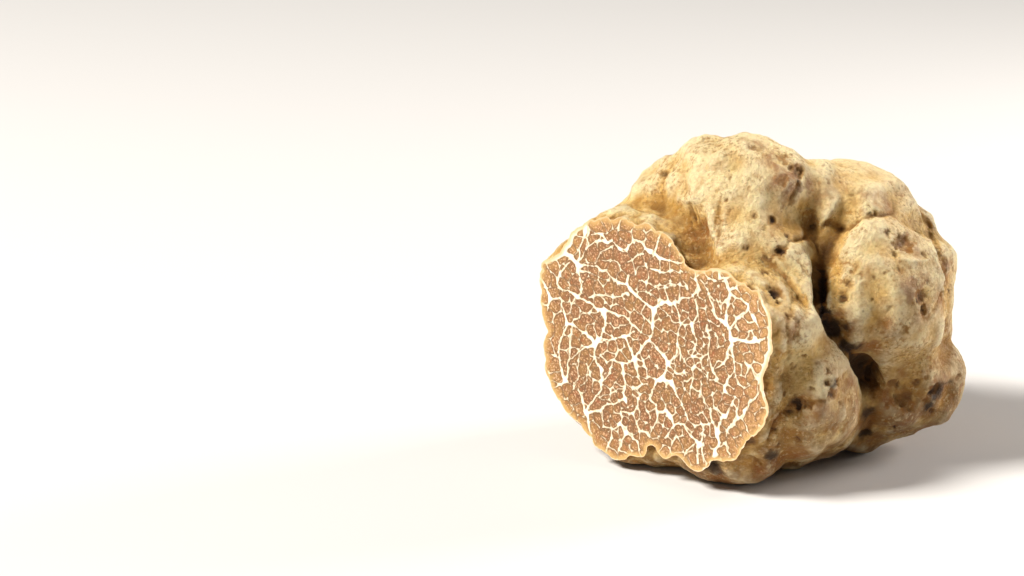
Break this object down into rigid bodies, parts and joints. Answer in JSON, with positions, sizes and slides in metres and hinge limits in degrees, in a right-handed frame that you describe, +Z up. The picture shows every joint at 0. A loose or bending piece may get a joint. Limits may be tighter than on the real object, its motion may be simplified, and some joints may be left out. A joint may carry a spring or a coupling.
{
  "type": "white truffle",
  "caption": "Lumpy lobed white truffle, sliced once at the front to show its marbled flesh, resting on its underside.",
  "frame": {"origin": "centre of the footprint, on the surface the truffle rests on", "axes": "+X to the right and +Y away as seen with the cut face at the front left, +Z up"},
  "size_m": [0.0782, 0.0648, 0.061],
  "materials": {
    "truffle_skin": "matt, pale ochre skin with brown pits; white-veined brown flesh on the cut face"
  },
  "bodies": {
    "root": {"white_truffle": "truffle_skin"}
  },
  "joints": []
}
